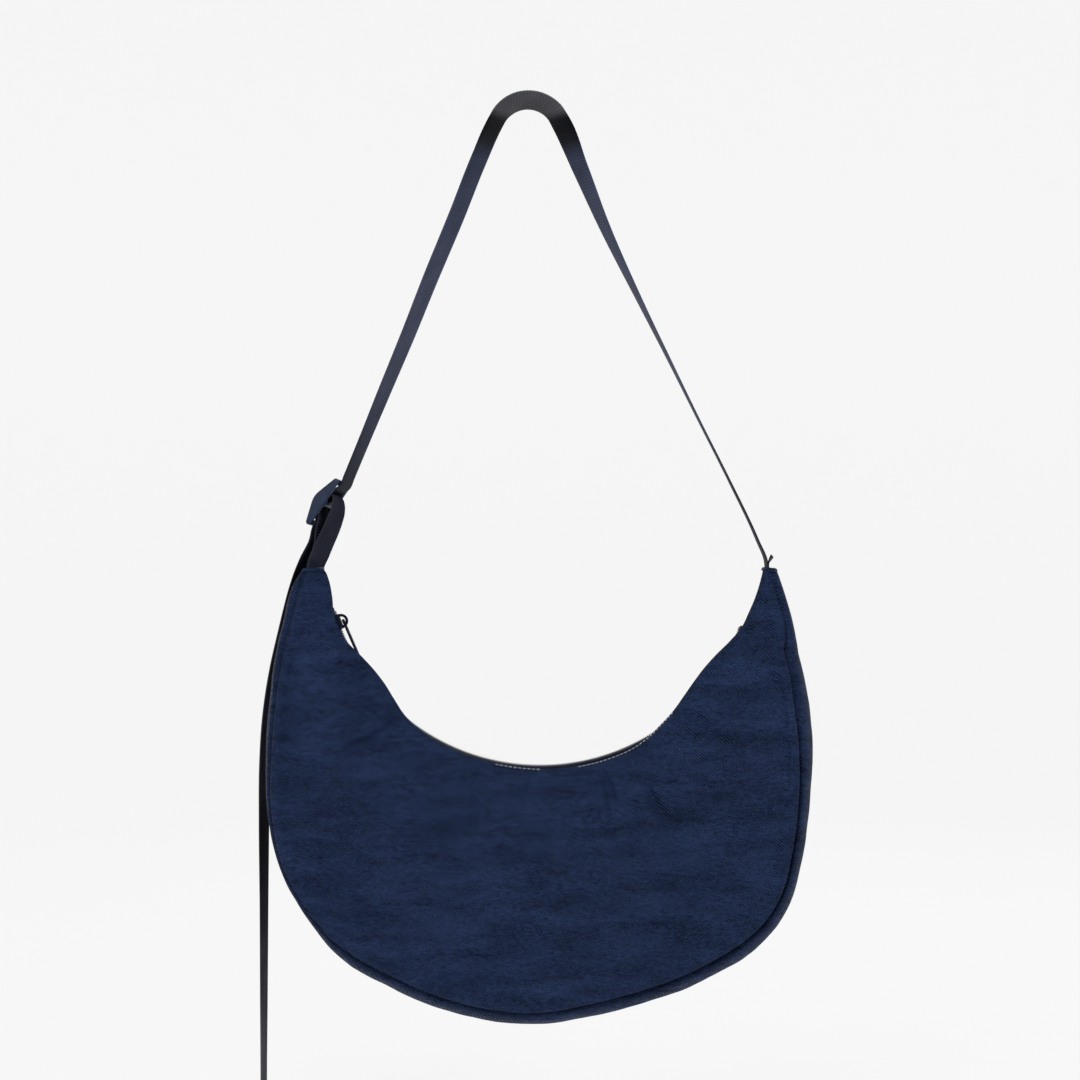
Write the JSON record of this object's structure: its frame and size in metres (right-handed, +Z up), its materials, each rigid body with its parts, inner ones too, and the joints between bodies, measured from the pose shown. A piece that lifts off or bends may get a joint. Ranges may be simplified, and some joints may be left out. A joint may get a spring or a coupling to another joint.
{
  "type": "half moon sling bag with a webbing strap",
  "caption": "Navy crinkle-nylon half moon bag with a zip along its concave top edge, hung by an adjustable webbing strap with a long free tail",
  "frame": {"origin": "the underside of the strap at the top of its arch, where it hangs on a peg", "axes": "+X to the viewer's right of the front view, +Y from the front panel to the back panel, +Z up along the hang"},
  "size_m": [0.3996, 0.0714, 0.7407],
  "materials": {
    "shell_cloth": "crinkled nylon with a slight sheen",
    "binding_tape": "thin woven tape",
    "zip_tape": "fine woven polyester",
    "zip_coil": "coiled nylon filament",
    "bare_metal": "crimped, plain",
    "enamelled_metal": "dark enamel, satin",
    "webbing": "ribbed nylon webbing",
    "moulded_plastic": "satin moulding"
  },
  "bodies": {
    "bag": {"front_panel": "shell_cloth", "back_panel": "shell_cloth", "gusset_left": "shell_cloth", "gusset_right": "shell_cloth", "gusset_joint_binding": "binding_tape", "seam_binding_front": "binding_tape", "seam_binding_back": "binding_tape", "inner_pocket": "shell_cloth", "pocket_hem_band": "shell_cloth", "zip_tape_front": "zip_tape", "zip_tape_back": "zip_tape", "zip_coil_front": "zip_coil", "zip_coil_back": "zip_coil", "zip_top_stops": "bare_metal", "zip_bottom_stop": "bare_metal", "zip_end_tab_left": "shell_cloth", "zip_end_tab_right": "shell_cloth", "tip_fold_left": "shell_cloth", "tip_fold_right": "shell_cloth", "strap": "webbing", "strap_tail": "webbing", "strap_tail_hem": "webbing", "strap_end_right": "webbing", "anchor_loop": "webbing"},
    "slider": {"zip_slider": "enamelled_metal", "zip_slider_bail": "enamelled_metal"},
    "pull": {"zip_pull": "enamelled_metal"},
    "adjuster": {"adjuster": "moulded_plastic", "strap_weave": "webbing"}
  },
  "joints": [
    {"name": "zip_slide", "type": "hinge", "parent": "bag", "child": "slider", "pos_m": [0.0086, 0, -0.325], "axis": [0, -1, 0], "range_deg": [0, 137]},
    {"name": "pull_swing", "type": "hinge", "parent": "slider", "child": "pull", "pos_m": [-0.13305, 0, -0.37388], "axis": [0, -1, 0], "range_deg": [0, 150]},
    {"name": "adjuster_tilt", "type": "hinge", "parent": "bag", "child": "adjuster", "pos_m": [-0.14387, 0.00211, -0.2899], "axis": [0.2078, 0.9744, -0.0862], "range_deg": [0, 20]}
  ]
}
